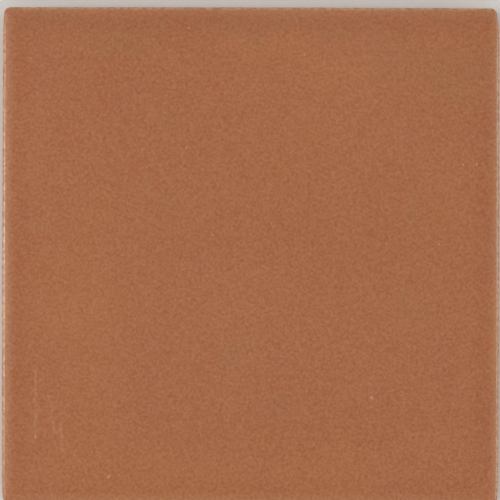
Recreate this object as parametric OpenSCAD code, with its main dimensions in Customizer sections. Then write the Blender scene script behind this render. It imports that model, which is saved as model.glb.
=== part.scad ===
// A square terracotta floor tile: one slab of fired clay with a flat face, a
// cushioned edge that falls away to a rounded arris on all four sides, softly
// rounded corners, and a back keyed with dovetail grooves that grip the bed.
//
// The origin is the middle of the bedding plane, on which the ribs of the back
// lie. +Z points out of the face, and the grooves run along Y.

/* [Slab] */
// Length of each side of the square
side = 150; // [100:1:300]
// Thickness, from the ribs of the back to the face
thickness = 12; // [9:0.5:25]
// Radius of the four corners, seen from above
corner_r = 2; // [1:0.5:8]

/* [Edge] */
// Width of the cushioned band in which the face falls towards each side
fall_w = 5; // [3:0.5:9]
// Radius of that fall, which starts level with the face
fall_r = 20; // [15:1:80]
// Radius of the arris between the fall and the side
arris_r = 1.5; // [0.5:0.1:2.5]
// Radius of the arris round the back
back_arris_r = 0.8; // [0.3:0.1:1.5]

/* [Keyed back] */
// Depth of a keying groove
groove_depth = 1.5; // [0.8:0.1:3]
// Width of a groove at its mouth
groove_w = 5; // [3:0.5:7]
// How far a groove's wall leans back under its rib
groove_undercut = 0.5; // [0:0.1:1]
// Bevel in the corners of a groove's root
root_bevel = 0.3; // [0.1:0.05:0.5]
// Chamfer along a rib's edges, at the groove's mouth
rib_chamfer = 0.3; // [0.1:0.05:0.5]
// Distance from the middle of one groove to the middle of the next
groove_pitch = 12; // [10:0.5:20]
// Narrowest rib allowed outside the outermost grooves
edge_rib = 6; // [4:0.5:12]

/* [Hidden] */
$fn = 96;

half = side / 2;

// The fall and the arris are tangent arcs. The arris ends level with its own
// centre, where the side starts, and the two arcs meet where the slope is turn.
flat_end = half - fall_w;
turn = asin((fall_w - arris_r) / (fall_r - arris_r));
fall_z = thickness - fall_r;
arris_x = half - arris_r;
arris_z = fall_z + (fall_r - arris_r) * cos(turn);

// An even number of grooves leaves a rib across the middle of the back.
groove_pairs = floor((half - edge_rib - groove_w / 2) / groove_pitch + 0.5);
groove_count = 2 * groove_pairs;
groove_first = -(groove_count - 1) / 2 * groove_pitch;

// The bevel and the chamfer share a groove's wall, so each keeps to a quarter
// of the depth.
bevel = min(root_bevel, groove_depth / 4);
chamfer = min(rib_chamfer, groove_depth / 4);

// How far a cutting shape reaches past what it cuts
past = 1;

// A ray from the fall's centre, through the arris's centre, to past the face.
// The two arcs meet on it.
function ray_point(length) = [flat_end + length * sin(turn), fall_z + length * cos(turn)];

// The part of the section under the fall, inside its arc.
module fall_section() {
    intersection() {
        translate([flat_end, fall_z]) circle(r = fall_r, $fn = 360);
        polygon([
            [flat_end, arris_z],
            [flat_end, thickness + past],
            ray_point(fall_r + 2 * past),
            [arris_x, arris_z]
        ]);
    }
}

// The part of the section under the arris, a sector from the ray to the side.
module arris_section() {
    intersection() {
        translate([arris_x, arris_z]) circle(r = arris_r);
        polygon([
            [arris_x, arris_z],
            ray_point(fall_r + 2 * past),
            [half + past, thickness + past],
            [half + past, arris_z]
        ]);
    }
}

// The lower part of the section, with the quarter round of the back's arris.
module side_section() {
    translate([0, back_arris_r]) square([half, arris_z - back_arris_r]);
    square([half - back_arris_r, back_arris_r]);
    translate([half - back_arris_r, back_arris_r]) intersection() {
        circle(r = back_arris_r, $fn = 48);
        translate([0, -back_arris_r]) square(back_arris_r);
    }
}

// Half of the slab's section, from its middle out to its side.
module half_section() {
    side_section();
    translate([0, arris_z]) square([flat_end, thickness - arris_z]);
    fall_section();
    arris_section();
}

// The section drawn right across, stood up and run through past both sides.
module ridge() {
    translate([0, half + past, 0]) rotate([90, 0, 0])
        linear_extrude(side + 2 * past) {
            half_section();
            mirror([1, 0]) half_section();
        }
}

// One corner, turned about its own centre from the part of the section that
// lies beyond it.
module corner() {
    translate([half - corner_r, half - corner_r, 0])
        rotate_extrude(angle = 90)
            intersection() {
                translate([corner_r - half, 0]) half_section();
                square([corner_r, thickness]);
            }
}

// Two crossed ridges leave a slab whose falls meet in mitres, and the last of
// each mitre gives way to the turned corner.
module slab() {
    difference() {
        intersection() {
            ridge();
            rotate([0, 0, 90]) ridge();
        }
        for (turn_z = [0 : 90 : 270])
            rotate([0, 0, turn_z])
                translate([half - corner_r, half - corner_r, -past])
                    cube([corner_r + past, corner_r + past, thickness + 2 * past]);
    }
    for (turn_z = [0 : 90 : 270])
        rotate([0, 0, turn_z]) corner();
}

// One dovetail groove, wider at its root than at its mouth. Its root has bevelled
// corners, and the chamfers of its ribs flare its mouth.
module groove() {
    function wall_x(height) = groove_w / 2 + groove_undercut * height / groove_depth;
    right = [
        [wall_x(chamfer) + chamfer + past, -past],
        [wall_x(chamfer), chamfer],
        [wall_x(groove_depth - bevel), groove_depth - bevel],
        [wall_x(groove_depth) - bevel, groove_depth]
    ];
    left = [for (i = [len(right) - 1 : -1 : 0]) [-right[i].x, right[i].y]];
    translate([0, half + past, 0]) rotate([90, 0, 0])
        linear_extrude(side + 2 * past) polygon(concat(right, left));
}

module tile() {
    color("#A56A4A") difference() {
        slab();
        for (i = [0 : groove_count - 1])
            translate([groove_first + i * groove_pitch, 0, 0]) groove();
    }
}

tile();
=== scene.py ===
"""A square terracotta floor tile, lying face up on a pale studio floor."""

import math

import bpy
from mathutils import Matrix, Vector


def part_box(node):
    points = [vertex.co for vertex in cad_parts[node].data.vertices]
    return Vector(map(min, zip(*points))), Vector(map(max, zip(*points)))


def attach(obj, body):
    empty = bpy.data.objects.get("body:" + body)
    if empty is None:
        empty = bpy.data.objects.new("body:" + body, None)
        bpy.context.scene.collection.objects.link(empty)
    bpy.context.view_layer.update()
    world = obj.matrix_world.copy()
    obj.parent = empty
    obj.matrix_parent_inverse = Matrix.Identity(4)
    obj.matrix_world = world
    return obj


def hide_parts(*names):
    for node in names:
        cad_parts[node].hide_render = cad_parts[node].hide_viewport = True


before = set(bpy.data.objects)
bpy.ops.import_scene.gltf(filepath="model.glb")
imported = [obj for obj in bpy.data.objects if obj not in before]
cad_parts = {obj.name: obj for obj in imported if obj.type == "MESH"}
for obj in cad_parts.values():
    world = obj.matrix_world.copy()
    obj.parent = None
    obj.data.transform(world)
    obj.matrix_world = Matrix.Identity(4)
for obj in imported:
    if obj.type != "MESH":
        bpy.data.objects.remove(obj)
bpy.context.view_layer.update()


# ------------------------------------------------------------------ The tile
# One slab of red clay. It was extruded through a die whose teeth left dovetail grooves
# in its back, cut to length with a wire, pressed so that its edges fall away in a cushion
# to a rounded arris, and fired. Grains of pale and dark grit lie flush in its face.


def first_output(node):
    """The output that is meant where a node stands for its value."""
    return next(output for output in node.outputs if output.enabled)


def add(tree, kind, inputs=(), **settings):
    """Adds a node and returns it. A kind in capitals is a Math node's operation. The
    settings are the node's properties, and the inputs go to its sockets in order, or by
    name from a dict: each is a value, a socket, or a node whose first output is meant."""
    if kind.isupper():
        settings["operation"], kind = kind, "ShaderNodeMath"
    node = tree.nodes.new(kind)
    for name, value in settings.items():
        setattr(node, name, value)
    sockets = [socket for socket in node.inputs if socket.enabled]
    if isinstance(inputs, dict):
        by_name = {socket.name: socket for socket in sockets}
        pairs = [(by_name[name], value) for name, value in inputs.items()]
    else:
        pairs = zip(sockets, inputs)
    for socket, value in pairs:
        if isinstance(value, bpy.types.Node):
            value = first_output(value)
        if isinstance(value, bpy.types.NodeSocket):
            tree.links.new(value, socket)
        else:
            socket.default_value = value
    return node


def start_tree(name, kind, **sockets):
    """A new node tree with these input sockets, and the outputs that bring them in."""
    tree = bpy.data.node_groups.new(name, kind)
    for socket, form in sockets.items():
        tree.interface.new_socket(
            socket.replace("_", " "), in_out="INPUT", socket_type="NodeSocket" + form
        )
    return tree, tree.nodes.new("NodeGroupInput").outputs


def end_tree(tree, form, **results):
    """Gives the tree an output socket of this form for each result, and links it."""
    node = tree.nodes.new("NodeGroupOutput")
    for socket, result in results.items():
        tree.interface.new_socket(socket, in_out="OUTPUT", socket_type="NodeSocket" + form)
        tree.links.new(result.outputs[0], node.inputs[socket])
    return tree


def cushioned_edge():
    """A group that carries a place across the face, from -1 at one side to 1 at the other,
    out to the tile's real section: how far it lies from the middle, and how far below the
    face. The flat, the fall and the arris each take their share of the way."""
    tree, size = start_tree(
        "Cushioned edge",
        "GeometryNodeTree",
        Along="Float",
        Half="Float",
        Fall_Width="Float",
        Fall_Radius="Float",
        Arris_Radius="Float",
        Flat_Share="Float",
        Fall_Share="Float",
    )
    away = add(tree, "ABSOLUTE", [size["Along"]])
    arris_start = add(tree, "ADD", [size["Flat Share"], size["Fall Share"]])
    on_flat = add(tree, "ShaderNodeMapRange", [away, 0, size["Flat Share"], 0, 1])
    on_fall = add(tree, "ShaderNodeMapRange", [away, size["Flat Share"], arris_start, 0, 1])
    on_arris = add(tree, "ShaderNodeMapRange", [away, arris_start, 1, 0, 1])

    # Two tangent arcs. The fall turns until it meets the arris, which turns to upright.
    spare = add(tree, "SUBTRACT", [size["Fall Radius"], size["Arris Radius"]])
    reach = add(tree, "SUBTRACT", [size["Fall Width"], size["Arris Radius"]])
    turn = add(tree, "ARCSINE", [add(tree, "DIVIDE", [reach, spare])])
    fall_angle = add(tree, "MULTIPLY", [on_fall, turn])
    rest = add(tree, "SUBTRACT", [math.pi / 2, turn])
    arris_angle = add(tree, "MULTIPLY_ADD", [on_arris, rest, fall_angle])

    flat = add(tree, "SUBTRACT", [size["Half"], size["Fall Width"]])
    out = add(tree, "MULTIPLY", [on_flat, flat])
    out = add(tree, "MULTIPLY_ADD", [spare, add(tree, "SINE", [fall_angle]), out])
    out = add(tree, "MULTIPLY_ADD", [size["Arris Radius"], add(tree, "SINE", [arris_angle]), out])
    rise = add(tree, "MULTIPLY", [spare, add(tree, "COSINE", [fall_angle])])
    rise = add(
        tree, "MULTIPLY_ADD", [size["Arris Radius"], add(tree, "COSINE", [arris_angle]), rise]
    )
    drop = add(tree, "SUBTRACT", [size["Fall Radius"], rise])
    return end_tree(tree, "Float", Out=out, Drop=drop)


def pressed_slab(tree, size):
    """The face and the sides, made from the cells of a cube of 2 m that is open below."""
    edge_cells = add(tree, "ADD", [size["Fall Cells"], size["Arris Cells"]])
    cells = add(tree, "MULTIPLY_ADD", [edge_cells, 2, size["Flat Cells"]])
    rows = add(tree, "ADD", [cells, 1])
    cube = add(tree, "GeometryNodeMeshCube", [(2, 2, 2), rows, rows, size["Side Rows"]])
    facing = add(tree, "ShaderNodeSeparateXYZ", [add(tree, "GeometryNodeInputNormal")])
    faces_down = add(tree, "LESS_THAN", [facing.outputs["Z"], -0.5])
    shell = add(tree, "GeometryNodeDeleteGeometry", [cube, faces_down], domain="FACE")

    # The section across each way, and the lower of the two where they cross in a mitre
    place = add(tree, "GeometryNodeInputPosition")
    along = add(tree, "ShaderNodeSeparateXYZ", [place]).outputs
    half = add(tree, "MULTIPLY", [size["Side"], 0.5])
    section = {
        "Half": half,
        "Fall Width": size["Fall Width"],
        "Fall Radius": size["Fall Radius"],
        "Arris Radius": size["Arris Radius"],
        "Flat Share": add(tree, "DIVIDE", [size["Flat Cells"], cells]),
        "Fall Share": add(tree, "DIVIDE", [size["Fall Cells"], add(tree, "DIVIDE", [cells, 2])]),
    }
    edge = cushioned_edge()
    across, through, end = (
        add(tree, "GeometryNodeGroup", {"Along": way, **section}, node_tree=edge).outputs
        for way in (along["X"], along["Y"], 1)
    )
    drop = add(tree, "MAXIMUM", [across["Drop"], through["Drop"]])

    # Down the side, then round the back's arris, which draws the outline in again
    side_share = 0.7
    down = add(tree, "ShaderNodeMapRange", [along["Z"], 1, -1, 0, 1])
    down_side = add(tree, "ShaderNodeMapRange", [down, 0, side_share, 0, 1])
    round_back = add(tree, "ShaderNodeMapRange", [down, side_share, 1, 0, math.pi / 2])
    side = add(tree, "SUBTRACT", [size["Thickness"], end["Drop"]])
    side = add(tree, "SUBTRACT", [side, size["Back Arris Radius"]])
    level = add(tree, "SUBTRACT", [size["Thickness"], drop])
    level = add(tree, "SUBTRACT", [level, add(tree, "MULTIPLY", [side, down_side])])
    turned = add(tree, "MULTIPLY", [size["Back Arris Radius"], add(tree, "SINE", [round_back])])
    level = add(tree, "SUBTRACT", [level, turned])
    drawn_in = add(tree, "SUBTRACT", [1, add(tree, "COSINE", [round_back])])
    drawn_in = add(tree, "MULTIPLY", [size["Back Arris Radius"], drawn_in])

    # What lies past a corner's centre both ways is turned about that centre
    plan = add(tree, "ShaderNodeCombineXYZ", [across["Out"], through["Out"], 0])
    centre = add(tree, "SUBTRACT", [half, size["Corner Radius"]])
    inner = add(tree, "ShaderNodeVectorMath", [plan, centre], operation="MINIMUM")
    beyond = add(tree, "ShaderNodeVectorMath", [plan, inner], operation="SUBTRACT")
    outward = add(tree, "ShaderNodeVectorMath", [beyond], operation="NORMALIZE")
    past = add(tree, "ShaderNodeSeparateXYZ", [beyond]).outputs
    ring = add(tree, "SUBTRACT", [add(tree, "MAXIMUM", [past["X"], past["Y"]]), drawn_in])
    plan = add(tree, "ShaderNodeVectorMath", [outward, ring, inner], operation="MULTIPLY_ADD")
    signs = add(tree, "ShaderNodeVectorMath", [place], operation="SIGN")
    plan = add(tree, "ShaderNodeVectorMath", [plan, signs], operation="MULTIPLY")

    # The sides bow, and a corner is drawn in along its side by its own amount
    rightward = add(tree, "ShaderNodeMapRange", [along["X"], -1, 1, 0, 1])
    backward = add(tree, "ShaderNodeMapRange", [along["Y"], -1, 1, 0, 1])
    front = add(
        tree, "ShaderNodeMix", [rightward, size["Front Left Draw"], size["Front Right Draw"]]
    )
    back = add(
        tree, "ShaderNodeMix", [rightward, size["Back Left Draw"], size["Back Right Draw"]]
    )
    near_end = add(
        tree,
        "ShaderNodeMapRange",
        [
            through["Out"],
            add(tree, "SUBTRACT", [half, size["Draw Reach"]]),
            half,
            0,
            add(tree, "ShaderNodeMix", [backward, front, back]),
        ],
        interpolation_type="SMOOTHSTEP",
    )
    bow_x = add(tree, "MULTIPLY", [size["Bow"], add(tree, "POWER", [along["Y"], 2])])
    bow_y = add(tree, "MULTIPLY", [size["Bow"], add(tree, "POWER", [along["X"], 2])])
    less = add(tree, "ShaderNodeCombineXYZ", [add(tree, "ADD", [bow_x, near_end]), bow_y, 0])
    less = add(tree, "ShaderNodeVectorMath", [less, half], operation="DIVIDE")
    kept = add(tree, "ShaderNodeVectorMath", [(1, 1, 1), less], operation="SUBTRACT")
    plan = add(tree, "ShaderNodeVectorMath", [plan, kept], operation="MULTIPLY")
    lift = add(tree, "ShaderNodeCombineXYZ", [0, 0, level])
    point = add(tree, "ShaderNodeVectorMath", [plan, lift], operation="ADD")
    return add(tree, "GeometryNodeSetPosition", {"Geometry": shell, "Position": point})


def fired_skin(tree, size, slab):
    """The fine peel and the slow swell of the fired skin, and the drag of the die down the
    sides, all cut inwards. The ring that the back closes stays true."""
    place = add(tree, "GeometryNodeInputPosition")
    normal = add(tree, "GeometryNodeInputNormal")
    height = add(tree, "ShaderNodeSeparateXYZ", [place]).outputs["Z"]
    up = add(tree, "ShaderNodeSeparateXYZ", [normal]).outputs["Z"]

    # The clay left the die along y, so the drag is drawn out that way
    drawn_out = add(tree, "ShaderNodeVectorMath", [place, (1, 0.08, 1)], operation="MULTIPLY")
    peel, swell, drag = (
        add(
            tree,
            "ShaderNodeTexNoise",
            {"Vector": where, "Scale": add(tree, "DIVIDE", [1, width]), "Detail": detail},
        )
        for where, width, detail in (
            (place, size["Peel Width"], 1),
            (place, size["Swell Width"], 1),
            (drawn_out, size["Peel Width"], 3),
        )
    )
    depth = add(tree, "MULTIPLY", [peel, size["Peel Depth"]])
    depth = add(tree, "MULTIPLY_ADD", [swell, size["Swell Depth"], depth])
    on_side = add(tree, "ShaderNodeMapRange", [up, 0.5, 0, 0, size["Drag Depth"]])
    depth = add(tree, "MULTIPLY_ADD", [drag, on_side, depth])
    ring = add(tree, "MULTIPLY", [size["Back Arris Radius"], 2])
    over_ring = add(tree, "ShaderNodeMapRange", [height, 0, ring, 0, -1])
    depth = add(tree, "MULTIPLY", [depth, over_ring])
    offset = add(tree, "ShaderNodeVectorMath", [normal, depth], operation="SCALE")
    return add(tree, "GeometryNodeSetPosition", {"Geometry": slab, "Offset": offset})


def closed_back(tree, skin):
    """The skin with its open ring filled by one flat face."""
    sides = add(tree, "GeometryNodeInputMeshEdgeNeighbors")
    rim = add(tree, "LESS_THAN", [sides, 1.5])
    curve = add(tree, "GeometryNodeMeshToCurve", [skin, rim])
    back = add(tree, "GeometryNodeFillCurve", [curve], mode="NGONS")
    back = add(tree, "GeometryNodeFlipFaces", [back])
    both = add(tree, "GeometryNodeJoinGeometry", [back])
    tree.links.new(skin.outputs[0], both.inputs[0])
    return add(tree, "GeometryNodeMergeByDistance", {"Geometry": both, "Distance": 1e-6})


def die_teeth(tree, size):
    """A tooth of the die for each groove: a bar as long as the slab, and wider at the
    groove's root than at its mouth, where the ribs' chamfers flare it."""
    bar = add(tree, "GeometryNodeMeshCube", [(2, 2, 2), 2, 2, 4])
    place = add(tree, "GeometryNodeInputPosition")
    along = add(tree, "ShaderNodeSeparateXYZ", [place]).outputs
    lean = add(tree, "DIVIDE", [size["Groove Undercut"], size["Groove Depth"]])
    mouth = add(tree, "MULTIPLY", [size["Groove Width"], 0.5])
    bevel_start = add(tree, "SUBTRACT", [size["Groove Depth"], size["Groove Bevel"]])
    below = add(tree, "MULTIPLY", [size["Groove Bevel"], -1])
    flare = add(tree, "MULTIPLY_ADD", [size["Groove Bevel"], 2, mouth])
    lower_wall = add(tree, "MULTIPLY_ADD", [size["Groove Bevel"], lean, mouth])
    upper_wall = add(tree, "MULTIPLY_ADD", [bevel_start, lean, mouth])
    root = add(tree, "ADD", [mouth, size["Groove Undercut"]])
    root = add(tree, "SUBTRACT", [root, size["Groove Bevel"]])

    # The bar's four rings of points, numbered from 0 at the bottom to 3 at the top
    row = add(tree, "MULTIPLY", [add(tree, "ADD", [along["Z"], 1]), 1.5])
    row = add(tree, "FunctionNodeFloatToInt", [row], rounding_mode="ROUND")
    level = add(tree, "GeometryNodeIndexSwitch", data_type="FLOAT")
    width = add(tree, "GeometryNodeIndexSwitch", data_type="FLOAT")
    for switch, steps in (
        (level, (below, size["Groove Bevel"], bevel_start, size["Groove Depth"])),
        (width, (flare, lower_wall, upper_wall, root)),
    ):
        switch.index_switch_items.new()
        switch.index_switch_items.new()
        tree.links.new(row.outputs[0], switch.inputs["Index"])
        for step, value in enumerate(steps):
            output = value.outputs[0] if isinstance(value, bpy.types.Node) else value
            tree.links.new(output, switch.inputs[str(step)])
    section = add(
        tree,
        "ShaderNodeCombineXYZ",
        [
            add(tree, "MULTIPLY", [along["X"], width]),
            add(tree, "MULTIPLY", [along["Y"], size["Side"]]),
            level,
        ],
    )
    tooth = add(tree, "GeometryNodeSetPosition", {"Geometry": bar, "Position": section})
    gaps = add(tree, "SUBTRACT", [size["Groove Count"], 1])
    first = add(tree, "MULTIPLY", [add(tree, "MULTIPLY", [gaps, size["Groove Pitch"]]), -0.5])
    row_of_teeth = add(
        tree,
        "GeometryNodeMeshLine",
        {
            "Count": size["Groove Count"],
            "Start Location": add(tree, "ShaderNodeCombineXYZ", [first, 0, 0]),
            "Offset": add(tree, "ShaderNodeCombineXYZ", [size["Groove Pitch"], 0, 0]),
        },
    )
    teeth = add(
        tree, "GeometryNodeInstanceOnPoints", {"Points": row_of_teeth, "Instance": tooth}
    )
    return add(tree, "GeometryNodeRealizeInstances", [teeth])


def strewn_grit(tree, size):
    """The places of the small grains, strewn over the flat of the face by a fixed seed.
    Each point has a "width", and a "tone", which is 1 on pale grit and 2 on dark."""
    half = add(tree, "MULTIPLY", [size["Side"], 0.5])
    reach = add(tree, "SUBTRACT", [half, size["Fall Width"]])
    back = add(tree, "MULTIPLY", [reach, -1])
    corners = {
        "Min": add(tree, "ShaderNodeCombineXYZ", [back, back, size["Thickness"]]),
        "Max": add(tree, "ShaderNodeCombineXYZ", [reach, reach, size["Thickness"]]),
        "Seed": 7,
    }
    place = add(tree, "FunctionNodeRandomValue", corners, data_type="FLOAT_VECTOR")
    points = add(tree, "GeometryNodePoints", {"Count": size["Grit Count"], "Position": place})
    widths = {"Min": size["Least Grit Width"], "Max": size["Most Grit Width"], "Seed": 11}
    width = add(tree, "FunctionNodeRandomValue", widths)
    share = {"Probability": size["Dark Grit Share"], "Seed": 4}
    dark = add(tree, "FunctionNodeRandomValue", share, data_type="BOOLEAN")
    for name, value in (("width", width), ("tone", add(tree, "ADD", [dark, 1]))):
        points = add(
            tree,
            "GeometryNodeStoreNamedAttribute",
            {"Geometry": points, "Name": name, "Value": value},
            data_type="FLOAT",
        )
    return points


def grit(tree, size):
    """A flat-topped grain on each large grain's point that comes in, and on each strewn
    one. It is as long as the point's "width" says, narrower across and flatter still, and
    its faces carry the point's "tone"."""
    places = add(tree, "GeometryNodeJoinGeometry", [strewn_grit(tree, size)])
    tree.links.new(size["Geometry"], places.inputs[0])
    width = add(tree, "GeometryNodeInputNamedAttribute", ["width"], data_type="FLOAT")
    form = (1, 0.75, 0.7)
    ball = add(tree, "GeometryNodeMeshIcoSphere", {"Radius": 0.5, "Subdivisions": 2})
    turn = add(tree, "FunctionNodeRandomValue", {"Max": math.tau, "Seed": 3})
    grains = add(
        tree,
        "GeometryNodeInstanceOnPoints",
        {
            "Points": places,
            "Instance": ball,
            "Rotation": add(tree, "ShaderNodeCombineXYZ", [0, 0, turn]),
            "Scale": add(
                tree,
                "ShaderNodeVectorMath",
                [add(tree, "ShaderNodeCombineXYZ", [width, width, width]), form],
                operation="MULTIPLY",
            ),
        },
    )
    grains = add(tree, "GeometryNodeRealizeInstances", [grains])
    place = add(tree, "ShaderNodeSeparateXYZ", [add(tree, "GeometryNodeInputPosition")]).outputs
    face = add(tree, "SUBTRACT", [size["Thickness"], size["Grit Sink"]])
    level = add(tree, "MINIMUM", [place["Z"], face])
    flush = add(tree, "ShaderNodeCombineXYZ", [place["X"], place["Y"], level])
    return add(tree, "GeometryNodeSetPosition", {"Geometry": grains, "Position": flush})


def fired_tile(clay, pale_grit, dark_grit):
    """The whole tile, on the points of its largest grains."""
    tree, size = start_tree(
        "Fired tile",
        "GeometryNodeTree",
        Geometry="Geometry",
        Side="Float",
        Thickness="Float",
        Corner_Radius="Float",
        Fall_Width="Float",
        Fall_Radius="Float",
        Arris_Radius="Float",
        Back_Arris_Radius="Float",
        Bow="Float",
        Draw_Reach="Float",
        Front_Left_Draw="Float",
        Front_Right_Draw="Float",
        Back_Left_Draw="Float",
        Back_Right_Draw="Float",
        Peel_Width="Float",
        Peel_Depth="Float",
        Swell_Width="Float",
        Swell_Depth="Float",
        Drag_Depth="Float",
        Groove_Count="Int",
        Groove_Pitch="Float",
        Groove_Width="Float",
        Groove_Undercut="Float",
        Groove_Depth="Float",
        Groove_Bevel="Float",
        Grit_Sink="Float",
        Grit_Count="Int",
        Least_Grit_Width="Float",
        Most_Grit_Width="Float",
        Dark_Grit_Share="Float",
        Flat_Cells="Int",
        Fall_Cells="Int",
        Arris_Cells="Int",
        Side_Rows="Int",
    )
    slab = closed_back(tree, fired_skin(tree, size, pressed_slab(tree, size)))
    keyed = add(
        tree,
        "GeometryNodeMeshBoolean",
        [slab, die_teeth(tree, size)],
        operation="DIFFERENCE",
        solver="MANIFOLD",
    )
    whole = add(
        tree, "GeometryNodeMeshBoolean", [keyed], operation="UNION", solver="MANIFOLD"
    )
    tree.links.new(grit(tree, size).outputs[0], whole.inputs["Mesh"])

    # Smooth but for the flat back and what meets at a real edge
    angle = add(tree, "GeometryNodeInputMeshEdgeAngle")
    soft = add(tree, "LESS_THAN", [angle, math.radians(35)])
    smooth = add(tree, "GeometryNodeSetShadeSmooth", [whole, True, soft], domain="EDGE")
    solid = add(tree, "GeometryNodeRealizeInstances", [smooth])
    tone = add(tree, "GeometryNodeInputNamedAttribute", ["tone"], data_type="FLOAT")
    result = add(tree, "GeometryNodeSetMaterial", [solid, True, clay])
    for number, material in enumerate((pale_grit, dark_grit), start=1):
        here = add(tree, "COMPARE", [tone, number, 0.1])
        result = add(tree, "GeometryNodeSetMaterial", [result, here, material])
    return end_tree(tree, "Geometry", Geometry=result)


# Sizes in metres, the outer ones from the frame
MM = 0.001
tile_low, tile_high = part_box("tile")
tile_sizes = {
    "Side": tile_high.x - tile_low.x,
    "Thickness": tile_high.z - tile_low.z,
    "Corner Radius": 2 * MM,
    "Fall Width": 5 * MM,
    "Fall Radius": 20 * MM,
    "Arris Radius": 1.5 * MM,
    "Back Arris Radius": 0.8 * MM,
    "Bow": 0.15 * MM,
    "Draw Reach": 7.5 * MM,
    "Front Left Draw": 0.25 * MM,
    "Front Right Draw": 0.2 * MM,
    "Back Left Draw": 0.3 * MM,
    "Back Right Draw": 0.75 * MM,
    "Peel Width": 2.2 * MM,
    "Peel Depth": 0.02 * MM,
    "Swell Width": 16 * MM,
    "Swell Depth": 0.05 * MM,
    "Drag Depth": 0.1 * MM,
    "Groove Count": 12,
    "Groove Pitch": 12 * MM,
    "Groove Width": 5 * MM,
    "Groove Undercut": 0.5 * MM,
    "Groove Depth": 1.5 * MM,
    "Groove Bevel": 0.3 * MM,
    "Grit Sink": 0.012 * MM,
    "Grit Count": 10,
    "Least Grit Width": 0.6 * MM,
    "Most Grit Width": 0.85 * MM,
    "Dark Grit Share": 0.25,
    "Flat Cells": 248,
    "Fall Cells": 10,
    "Arris Cells": 8,
    "Side Rows": 9,
}

# The three largest grains, as places across the face and a width, in millimetres
large_grains = [
    (36.5, -42.5, 1.2),
    (-42.5, -66.5, 1.2),
    (-64.5, -54.5, 1.05),
]


def linear(hex_colour):
    """An sRGB hex colour as the linear values that Blender's sockets take."""
    channels = [int(hex_colour[start : start + 2], 16) / 255 for start in (1, 3, 5)]
    return [
        value / 12.92 if value <= 0.04045 else ((value + 0.055) / 1.055) ** 2.4
        for value in channels
    ] + [1]


def start_material(name, **shader):
    """A material with only a Principled shader, its tree, and the shader."""
    material = bpy.data.materials.new(name)
    material.use_nodes = True
    tree = material.node_tree
    tree.nodes.clear()
    shader = add(tree, "ShaderNodeBsdfPrincipled", shader)
    add(tree, "ShaderNodeOutputMaterial", [shader])
    return material, tree, shader


# Marks on the face: each is a line from one place to another, and how far it fades to
# both sides, all in millimetres. The back edge is darkened by painted shade, the bloom is
# a thin greenish scum of salts, the flash a warmer colour where the flame came in, and the
# scuffs rub the skin pale; the last two scuffs lie along the side arrises as painted highlight.
painted_back_edge_shade = [
    (-80, 71, 80, 71, 6),
]
bloom = [
    (-70, 71, 70, 71, 6),
    (42, 56, 68, 54, 13),
    (-48, 65, -30, 63, 8),
    (-27, 47, -22, 42, 4),
    (-31, 22, -28, 19, 4),
    (51, 10, 54, 8, 4),
    (-8, -28, -5, -31, 7),
    (50, -16, 53, -18, 4.5),
    (6, -44, 9, -46, 4.5),
]
flash = [
    (-49, 8, -47, -60, 18),
    (-55, -66, 30, -69, 16),
    (-8, 66, 32, 56, 8),
]
scuffs_and_arris_highlight = [
    (-64.5, -35, -64.5, -55, 0.8),
    (-61, -41, -59.5, -47.5, 0.6),
    (-59.5, -48.5, -59, -53.5, 0.9),
    (-57, -51, -56.5, -54.5, 0.9),
    (-56.5, -54.5, -56.5, -58.5, 0.8),
    (-57, 26.5, -57, 22, 0.6),
    # These two lie along the left and right arris: a painted highlight, pale colour standing in
    # for the lamps' sheen there
    (-74.5, 6, -74.5, -24, 2.4),
    (74.5, -72, 74.5, 62, 2.2),
]


def stroke():
    """A group that is 1 along the line between two places and fades to 0 at its width."""
    tree, size = start_tree(
        "Stroke", "ShaderNodeTree", Place="Vector", Start="Vector", End="Vector", Width="Float"
    )
    line = add(tree, "ShaderNodeVectorMath", [size["End"], size["Start"]], operation="SUBTRACT")
    here = add(
        tree, "ShaderNodeVectorMath", [size["Place"], size["Start"]], operation="SUBTRACT"
    )
    passed = add(tree, "ShaderNodeVectorMath", [here, line], operation="DOT_PRODUCT")
    whole = add(tree, "ShaderNodeVectorMath", [line, line], operation="DOT_PRODUCT")
    share = add(tree, "DIVIDE", [passed, whole], use_clamp=True)
    nearest = add(tree, "ShaderNodeVectorMath", [line, share], operation="SCALE")
    gap = add(tree, "ShaderNodeVectorMath", [here, nearest], operation="DISTANCE")
    mark = add(
        tree,
        "ShaderNodeMapRange",
        [gap, 0, size["Width"], 1, 0],
        interpolation_type="SMOOTHSTEP",
    )
    return end_tree(tree, "Float", Mark=mark)


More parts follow.
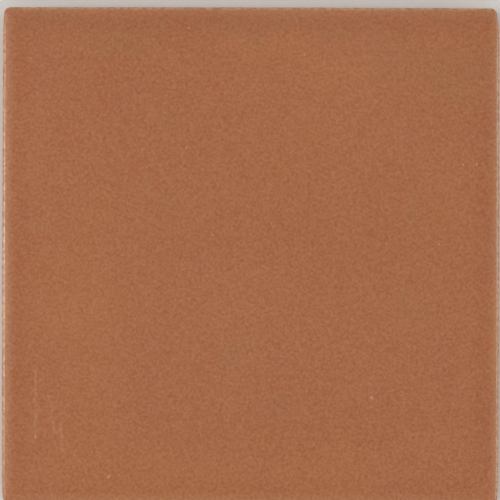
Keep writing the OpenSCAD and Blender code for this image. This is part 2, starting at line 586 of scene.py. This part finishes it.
def fired_terracotta():
    """Red earthenware with a satin skin, pressed smooth and fired without a glaze. The
    grain of the clay shows through as a fine even mottle, the kiln leaves broad clouds, and
    the clay burns paler where it thins towards the sides, where a sheen is also painted in
    the same pale colour. The sides and the back are raw: drier and rougher than the pressed skin."""
    material, tree, shader = start_material("Fired terracotta, satin")
    shader.inputs["IOR"].default_value = 1.5
    place = add(tree, "ShaderNodeTexCoord").outputs["Object"]
    along = add(tree, "ShaderNodeSeparateXYZ", [place]).outputs
    face = tile_sizes["Thickness"]

    # Turned askew, so that the noise's own lattice doesn't line up with the tile
    askew = add(tree, "ShaderNodeMapping", {"Vector": place, "Rotation": (0.6, 0.4, 0.5)})

    # What the die dragged is drawn out along y, the way that the clay left it
    combed = add(tree, "ShaderNodeMapping", {"Vector": place, "Scale": (1, 0.06, 1)})

    # Each noise is named for what it draws: where, how wide, its detail and roughness
    noise = {
        name: add(
            tree,
            "ShaderNodeTexNoise",
            {"Vector": where, "Scale": 1 / width, "Detail": detail, "Roughness": roughness},
        )
        for name, where, width, detail, roughness in (
            ("mottle", askew, 0.76 * MM, 0, 0.5),
            ("clouds", askew, 50 * MM, 5, 0.72),
            ("flecks", askew, 2.6 * MM, 1, 1),
            ("yellow cast", askew, 22 * MM, 3, 0.5),
            ("outline of clouds", askew, 14 * MM, 3, 0.5),
            ("outline of scuffs", askew, 3 * MM, 3, 0.5),
            ("rubbing", askew, 0.9 * MM, 1, 0.5),
            ("knocks_and_glints", askew, 1.15 * MM, 2, 0.35),
            ("streaks", combed, 1.3 * MM, 3, 0.6),
            ("pits", askew, 1.1 * MM, 1, 0.5),
            ("tooth", askew, 0.8 * MM, 0, 0.5),
        )
    }

    def strays(outline, reach):
        """The place moved astray, so that what is drawn there has an uneven outline."""
        drift = add(
            tree,
            "ShaderNodeVectorMath",
            [outline.outputs["Color"], (0.5, 0.5, 0.5)],
            operation="SUBTRACT",
        )
        return add(
            tree,
            "ShaderNodeVectorMath",
            [drift, (reach, reach, 0), place],
            operation="MULTIPLY_ADD",
        )

    def marks(strokes, where):
        """How strongly the strokes cover a place: that of the strongest one there."""
        strongest = 0
        for x, y, end_x, end_y, width in strokes:
            mark = add(
                tree,
                "ShaderNodeGroup",
                {
                    "Place": where,
                    "Start": (x * MM, y * MM, face),
                    "End": (end_x * MM, end_y * MM, face),
                    "Width": width * MM,
                },
                node_tree=stroke_group,
            )
            strongest = add(tree, "MAXIMUM", [mark, strongest])
        return strongest

    def tinted(colour, layers):
        """The colour under these layers, each a cover, a strength and a colour."""
        for cover, strength, hex_colour in layers:
            share = add(tree, "MULTIPLY", [cover, strength])
            colour = add(
                tree, "ShaderNodeMix", [share, colour, linear(hex_colour)], data_type="RGBA"
            )
        return colour

    # How far a place on the face lies in from the nearest side
    away = [add(tree, "ABSOLUTE", [along[way]]) for way in ("X", "Y")]
    inset = add(tree, "SUBTRACT", [tile_sizes["Side"] / 2, add(tree, "MAXIMUM", away)])

    # Tone: the grain, the kiln's clouds, and a darker band where the fall begins
    stroke_group = stroke()
    clouded = strays(noise["outline of clouds"], 30 * MM)
    clouds = add(tree, "SUBTRACT", [noise["clouds"], 0.5])
    tone = add(tree, "MULTIPLY_ADD", [clouds, 0.38, noise["mottle"]])
    into_band = add(
        tree,
        "ShaderNodeMapRange",
        [inset, 2 * MM, 4.5 * MM, 0, -0.08],
        interpolation_type="SMOOTHSTEP",
    )
    out_of_band = add(
        tree,
        "ShaderNodeMapRange",
        [inset, 5.5 * MM, 10 * MM, 1, 0],
        interpolation_type="SMOOTHSTEP",
    )
    tone = add(tree, "MULTIPLY_ADD", [into_band, out_of_band, tone])
    colour = add(
        tree, "ShaderNodeMix", [tone, linear("#98532A"), linear("#B4754E")], data_type="RGBA"
    )

    # Hue: flecks here and there, where the noise is far from its middle, and more of them
    # olive than red, and a slow drift between yellower and bluer
    uneven = add(
        tree,
        "ShaderNodeVectorMath",
        [noise["flecks"].outputs["Color"], (0.5, 0.5, 0.5)],
        operation="SUBTRACT",
    )
    amount = add(tree, "ShaderNodeVectorMath", [uneven], operation="ABSOLUTE")
    skewed = add(
        tree,
        "ShaderNodeVectorMath",
        [amount, (-0.25, -0.25, -0.25), uneven],
        operation="MULTIPLY_ADD",
    )
    flecks = add(tree, "ShaderNodeVectorMath", [skewed, amount], operation="MULTIPLY")
    colour = add(
        tree,
        "ShaderNodeVectorMath",
        [flecks, (0.24, -0.135, 0.085), colour],
        operation="MULTIPLY_ADD",
    )
    yellowed = add(tree, "SUBTRACT", [noise["yellow cast"], 0.5])
    colour = add(
        tree,
        "ShaderNodeVectorMath",
        [yellowed, (0, 0, -0.012), colour],
        operation="MULTIPLY_ADD",
    )

    # The marks, and the paler body of the clay, which is bared where the skin was scuffed,
    # thins towards the sides, or is worn off the arris in small knocks. The same pale colour
    # also paints a highlight: along the side arrises in the last two scuffs, as a sheen in the
    # band that fades in from the sides, and as glinting beads in the knocks on the arris.
    bared_clay_and_sheen = "#D9B58C"
    rubbed = add(tree, "ShaderNodeMapRange", [noise["rubbing"], 0.3, 0.6, 0.2, 1])
    uneven_scuffs_and_highlight = marks(scuffs_and_arris_highlight, strays(noise["outline of scuffs"], 1.2 * MM))
    scuffs_and_highlight_cover = add(tree, "MULTIPLY", [uneven_scuffs_and_highlight, rubbed])
    rim = add(tree, "ShaderNodeMapRange", [inset, 0, 4.5 * MM, 1, 0])
    raw_end = face - 1.4 * MM
    raw_start = face - 2.2 * MM
    raw = add(tree, "ShaderNodeMapRange", [along["Z"], raw_end, raw_start, 0, 1])
    arris = add(tree, "ShaderNodeMapRange", [inset, 0.4 * MM, 1.3 * MM, 1, 0])
    arris = add(tree, "SUBTRACT", [arris, raw], use_clamp=True)
    knocks_and_glints = add(tree, "ShaderNodeMapRange", [noise["knocks_and_glints"], 0.455, 0.545, 0, 1])
    worn_and_glinting = add(tree, "MULTIPLY", [arris, knocks_and_glints])
    colour = tinted(
        colour,
        [
            # Painted shade: the band along the back edge is darkened
            (marks(painted_back_edge_shade, place), 0.09, "#94503F"),
            (marks(bloom, clouded), 0.07, "#7A7A50"),
            (marks(flash, clouded), 0.04, "#CC9A4A"),
            # Scuffs on the face, and a painted highlight along the left and right arris
            (scuffs_and_highlight_cover, 0.14, bared_clay_and_sheen),
            # Paler towards the sides: partly the clay, partly a painted sheen
            (add(tree, "POWER", [rim, 2]), 0.14, bared_clay_and_sheen),
            # Knocks on the arris: pale with wear, and painted as the beads of the highlight there
            (worn_and_glinting, 0.48, bared_clay_and_sheen),
        ],
    )

    # The raw sides and back: dry, streaked where the die dragged along them, and pitted
    streaked = add(tree, "MULTIPLY", [raw, noise["streaks"]])
    pits = add(tree, "ShaderNodeMapRange", [noise["pits"], 0.62, 0.76, 0, 1])
    pitted = add(tree, "MULTIPLY", [raw, pits])
    colour = tinted(
        colour,
        [
            (raw, 0.3, "#C39A7C"),
            (streaked, 0.25, "#8F5030"),
            (pitted, 0.2, "#7A4630"),
        ],
    )

    # Satin on the face, a little duller on the arris and brighter where that is worn, and
    # dry on the raw clay
    satin = 0.3
    dry = 0.85
    dulled = add(tree, "MULTIPLY_ADD", [arris, 0.12, satin])
    polished = add(tree, "MULTIPLY_ADD", [worn_and_glinting, -0.26, dulled])
    roughness = add(tree, "ShaderNodeMapRange", [raw, 0, 1, polished, dry])
    height = add(tree, "MULTIPLY", [noise["tooth"], 0.03 * MM])
    height = add(tree, "MULTIPLY_ADD", [streaked, 0.3 * MM, height])
    height = add(tree, "MULTIPLY_ADD", [pitted, -0.15 * MM, height])
    bump = add(tree, "ShaderNodeBump", {"Strength": 1, "Distance": 1, "Height": height})
    tree.links.new(bump.outputs[0], shader.inputs["Normal"])
    tree.links.new(roughness.outputs[0], shader.inputs["Roughness"])
    tree.links.new(first_output(colour), shader.inputs["Base Color"])
    return material


def grit_material(name, hex_colour, roughness):
    """A hard grain in the clay, cut flush and matt, of one colour all through."""
    material, _, shader = start_material(name)
    shader.inputs["Base Color"].default_value = linear(hex_colour)
    shader.inputs["Roughness"].default_value = roughness
    return material


terracotta = fired_terracotta()
pale_grit = grit_material("Pale grit, fired feldspar", "#BB8161", 0.5)
dark_grit = grit_material("Dark grit, burnt iron clay", "#985E40", 0.7)

points = bpy.data.meshes.new("grit places")
points.from_pydata([(x * MM, y * MM, tile_high.z) for x, y, width in large_grains], [], [])
widths = points.attributes.new("width", "FLOAT", "POINT")
tones = points.attributes.new("tone", "FLOAT", "POINT")
for index, (x, y, width) in enumerate(large_grains):
    widths.data[index].value = width * MM
    tones.data[index].value = 1
seed = bpy.data.objects.new("grit places", points)
bpy.context.scene.collection.objects.link(seed)
modifier = seed.modifiers.new("fired tile", "NODES")
modifier.node_group = fired_tile(terracotta, pale_grit, dark_grit)
for socket in modifier.node_group.interface.items_tree:
    if socket.in_out == "INPUT" and socket.name in tile_sizes:
        modifier[socket.identifier] = tile_sizes[socket.name]
graph = bpy.context.evaluated_depsgraph_get()
mesh = bpy.data.meshes.new_from_object(seed.evaluated_get(graph), depsgraph=graph)
bpy.data.objects.remove(seed)
tile = bpy.data.objects.new("fired_tile", mesh)
bpy.context.scene.collection.objects.link(tile)
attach(tile, "root")
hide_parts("tile")


# ------------------------------------------------------------------ The studio
# A pale floor under soft light, and a camera that looks straight down on the tile.
bpy.context.scene.view_settings.view_transform = "Standard"

floor_half = 2
floor_corners = [
    (x * floor_half, y * floor_half, 0) for x, y in ((-1, -1), (1, -1), (1, 1), (-1, 1))
]
floor_mesh = bpy.data.meshes.new("floor")
floor_mesh.from_pydata(floor_corners, [], [(0, 1, 2, 3)])
floor = bpy.data.objects.new("floor", floor_mesh)
bpy.context.scene.collection.objects.link(floor)
floor_material, _, floor_shader = start_material("Pale floor")
floor_shader.inputs["Base Color"].default_value = linear("#D8D5D0")
floor_shader.inputs["Roughness"].default_value = 0.9
floor_mesh.materials.append(floor_material)

world = bpy.data.worlds.new("studio")
world.use_nodes = True
background = world.node_tree.nodes["Background"]
background.inputs["Color"].default_value = linear("#FFFFFF")
background.inputs["Strength"].default_value = 0.52
bpy.context.scene.world = world


def soft_lamp(name, azimuth, elevation, width, height, share):
    """A wide area lamp that faces the tile from this direction, in degrees, and gives
    this share of the light on its face."""
    lamp = bpy.data.lights.new(name, "AREA")
    lamp.shape = "RECTANGLE"
    lamp.size = width
    lamp.size_y = height
    reach = 2.0
    rise = math.radians(elevation)
    lamp.energy = share * (math.pi * reach) ** 2 / math.sin(rise)
    holder = bpy.data.objects.new(name, lamp)
    bpy.context.scene.collection.objects.link(holder)
    holder.rotation_euler = (math.radians(90 - elevation), 0, math.radians(azimuth + 90))
    holder.location = (
        reach * math.cos(rise) * math.cos(math.radians(azimuth)),
        reach * math.cos(rise) * math.sin(math.radians(azimuth)),
        reach * math.sin(rise),
    )


soft_lamp("left lamp", 180, 33, 0.5, 0.8, 0.21)
soft_lamp("left sky", 180, 53, 0.8, 0.7, 0.055)
soft_lamp("right lamp", 0, 25, 1.6, 1.0, 0.14)
soft_lamp("back lamp", 90, 25, 1.6, 0.8, 0.02)
soft_lamp("front lamp", 270, 25, 1.6, 0.8, 0.045)

camera_data = bpy.data.cameras.new("camera")
camera_data.type = "PERSP"
camera_data.sensor_width = 36
camera_data.lens = 120
camera = bpy.data.objects.new("camera", camera_data)
bpy.context.scene.collection.objects.link(camera)
view_width = 150.25 * MM
view_x = -0.18 * MM
view_y = 1.75 * MM
view_turn = math.radians(0.15)
distance = view_width * camera_data.lens / camera_data.sensor_width
camera.location = (view_x, view_y, tile_high.z + distance)
camera.rotation_euler = (0, 0, view_turn)
bpy.context.scene.camera = camera
